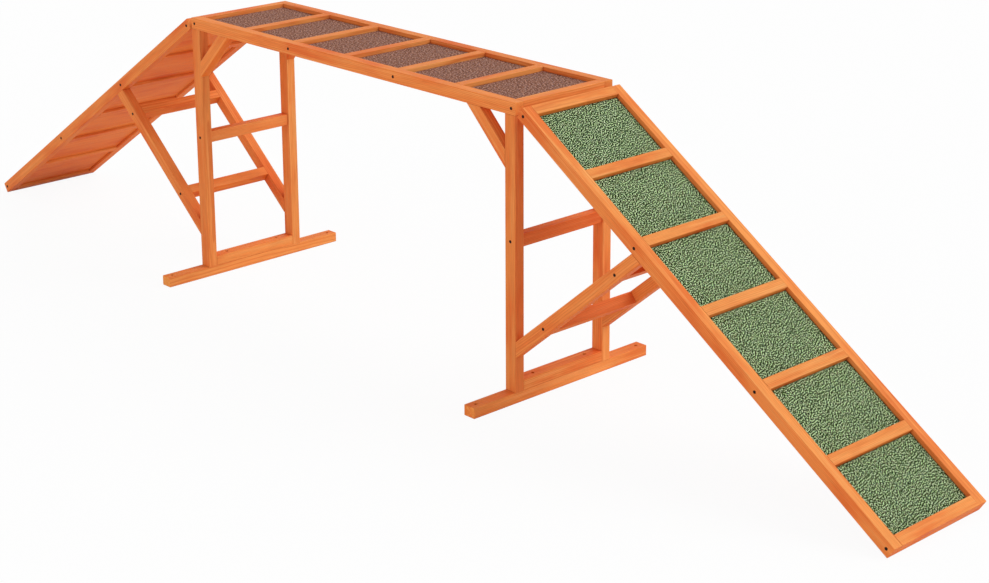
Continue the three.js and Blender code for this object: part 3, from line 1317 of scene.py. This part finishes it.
@dataclass
class Board:
    """A framed board of the walkway: deck or ramp."""

    name: str
    ends: tuple[str, str]
    body: str
    nap: Nap
    seed: int
    floor_seed: int = 8
    felt_seed: int = 10

    def make(self, nodes: Nodes, finishes: Finishes) -> None:
        """Dresses the frame, lays the felt and drives a screw at every second cross member.

        Args:
            nodes: The frame's objects by name.
            finishes: The bridge's finishes.
        """
        rail = Lie.of(nodes[self.name + "_rail_front"])
        bays = Bays.of(self.name, nodes)
        timbers = [f"rail_{side.word}" for side in Side] + [f"end_rail_{end}" for end in self.ends]
        for number, timber in enumerate(timbers):
            piece = nodes[f"{self.name}_{timber}"]
            finishes.timber.coat(piece, Lie.of(piece), self.seed + number)
        middle = Vector((rail.centre.x, 0.0, rail.centre.z))
        floor, floor_lie = self.name + "_floor", Lie(middle, Vector((0.0, 1.0, 0.0)), rail.along)
        finishes.timber.coat(nodes[floor], floor_lie, self.seed + self.floor_seed, bays=bays)
        walk = Lie(middle, rail.along, rail.side)
        for bay in range(1, bays.count + 1):
            node = f"{self.name}_felt_{bay}"
            sheet = GritSheet(node, walk, self.body, self.nap, self.seed + self.felt_seed + bay, floor)
            sheet.make(nodes[node], finishes.felt[self.nap])
        steps = np.arange(-bays.count / 2, bays.count / 2 + 1, 2)[:, None] * bays.pitch
        middles = np.array(middle) + steps * np.array(rail.along)
        drive_side_screws(self.name + "_rail", middles, self.body, nodes, finishes)
        LOG.info("%s: frame, floor, %d felt sheets and side screws", self.name, bays.count)


@dataclass
class Trestle:
    """A trestle under one end of the deck, and how far each of its timbers can lie out of the light."""

    end: End
    seed: int
    shelter: float
    sink_spacing: float = 0.180
    sink_depth: float = 0.008
    screw_lift: float = 0.0013
    sill_head: ScrewHead = ScrewHead(radius=0.0042, arm_reach=0.0026)
    body: str = "bridge"
    shelters: ClassVar[dict[str, float]] = {
        "foot": 0.0,
        "sill": 0.0,
        "post_front": 0.7,
        "post_rear": 0.0,
        "cross_rail": 1.0,
        "brace_front": 0.5,
        "brace_rear": 1.0,
    }

    def make(self, nodes: Nodes, finishes: Finishes) -> None:
        """Dresses the timbers and drives the screws.

        Args:
            nodes: The frame's objects by name.
            finishes: The bridge's finishes.
        """
        word = self.end.word
        for number, (part, share) in enumerate(self.shelters.items()):
            piece = nodes[f"{word}_{part}"]
            finishes.timber.coat(piece, Lie.of(piece), self.seed + number, share * self.shelter)
        rail = Lie.of(nodes[word + "_cross_rail"]).centre
        drive_side_screws(word + "_post", np.array([rail]), self.body, nodes, finishes)
        low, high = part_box(word + "_sill")
        x, z = (low.x + high.x) / 2, high.z - self.sink_depth + self.screw_lift
        places = np.array([[x, side.value * self.sink_spacing / 2, z] for side in Side])
        row = ScrewRow(word + "_sill_screws", places, Vector((0, 0, 1)), self.body, "timber", self.sill_head)
        row.make(finishes.black)
        LOG.info("%s trestle: %d timbers and its screws", word, len(self.shelters))


@dataclass
class Support:
    """The frame between a trestle and its ramp."""

    end: End
    seed: int
    shelter: float
    parts: ClassVar[tuple[str, ...]] = ("bar_front", "bar_rear", "rung_lower", "rung_upper")

    def make(self, nodes: Nodes, finishes: Finishes) -> None:
        """Dresses the bars and rungs and drives the screws.

        Args:
            nodes: The frame's objects by name.
            finishes: The bridge's finishes.
        """
        name = self.end.word + "_support"
        for number, part in enumerate(self.parts):
            piece = nodes[f"{name}_{part}"]
            finishes.timber.coat(piece, Lie.of(piece), self.seed + number, self.shelter)
        rungs = np.array([Lie.of(nodes[f"{name}_rung_{rung}"]).centre for rung in ("lower", "upper")])
        drive_side_screws(name + "_bar", rungs, self.end.word + "_ramp", nodes, finishes)
        LOG.info("%s frame: %d timbers and its screws", name, len(self.parts))


@dataclass
class Hinge:
    """The strip hinge between the deck and one ramp."""

    end: End
    screw_count: int = 4
    screw_spacing: float = 0.066
    setback: float = 0.0095
    tip_reach: float = 0.0001
    head: ScrewHead = ScrewHead(radius=0.0032, rim=0.0003, rise=0.0005, skirt=0.0006, recess=0.0006)

    def make(self, nodes: Nodes, finishes: Finishes) -> None:
        """Plates both leaves and screws each to its board from below.

        Args:
            nodes: The frame's objects by name.
            finishes: The bridge's finishes.
        """
        word = self.end.word
        ramp = Lie.of(nodes[word + "_ramp_rail_front"])
        flat = Lie(Vector((0, 0, 0)), Vector((1, 0, 0)), Vector((0, 1, 0)))
        leaves = (("deck", flat, "bridge", -self.end.value), ("ramp", ramp, word + "_ramp", self.end.value))
        for board, lie, body, sign in leaves:
            name = f"{word}_hinge_{board}_leaf"
            nodes[name].data.materials.clear()
            nodes[name].data.materials.append(finishes.zinc)
            axes = np.array(lie.turn)
            own = points_of(nodes[name]) @ axes
            tip = own[:, 0].max() if sign > 0 else own[:, 0].min()
            under = own[np.abs(own[:, 0] - tip) < self.tip_reach, 2].min()
            y = (np.arange(self.screw_count) - (self.screw_count - 1) / 2) * self.screw_spacing
            rows = [np.full_like(y, tip - sign * self.setback), y, np.full_like(y, under)]
            places = np.stack(rows, -1) @ axes.T
            ScrewRow(name + "_screws", places, -lie.up, body, "zinc", self.head).make(finishes.zinc)
        LOG.info("%s hinge: two leaves with %d screws each", word, self.screw_count)


def main() -> None:
    """Builds the picture round the frame, sub-assembly by sub-assembly."""
    logging.basicConfig(level=logging.INFO, format="%(name)s: %(message)s")
    bpy.context.scene.view_settings.view_transform = "Standard"
    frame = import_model()
    studio = Studio()
    studio.set_camera()
    studio.set_light()
    studio.set_floor()
    nodes = frame["nodes"]
    finishes = Finishes.make(Lie.of(nodes["right_ramp_rail_front"]).slope)
    Board("deck", ("left", "right"), "bridge", Nap.BROWN, seed=100).make(nodes, finishes)
    for end, seed, shelter in ((End.LEFT, 200, 0.35), (End.RIGHT, 300, 1.0)):
        ramp = end.word + "_ramp"
        Board(ramp, ("upper", "lower"), ramp, Nap.GREEN, seed).make(nodes, finishes)
        Trestle(end, seed + 30, shelter).make(nodes, finishes)
        Support(end, seed + 40, shelter).make(nodes, finishes)
        Hinge(end).make(nodes, finishes)
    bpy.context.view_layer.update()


if __name__ == "__main__":
    main()
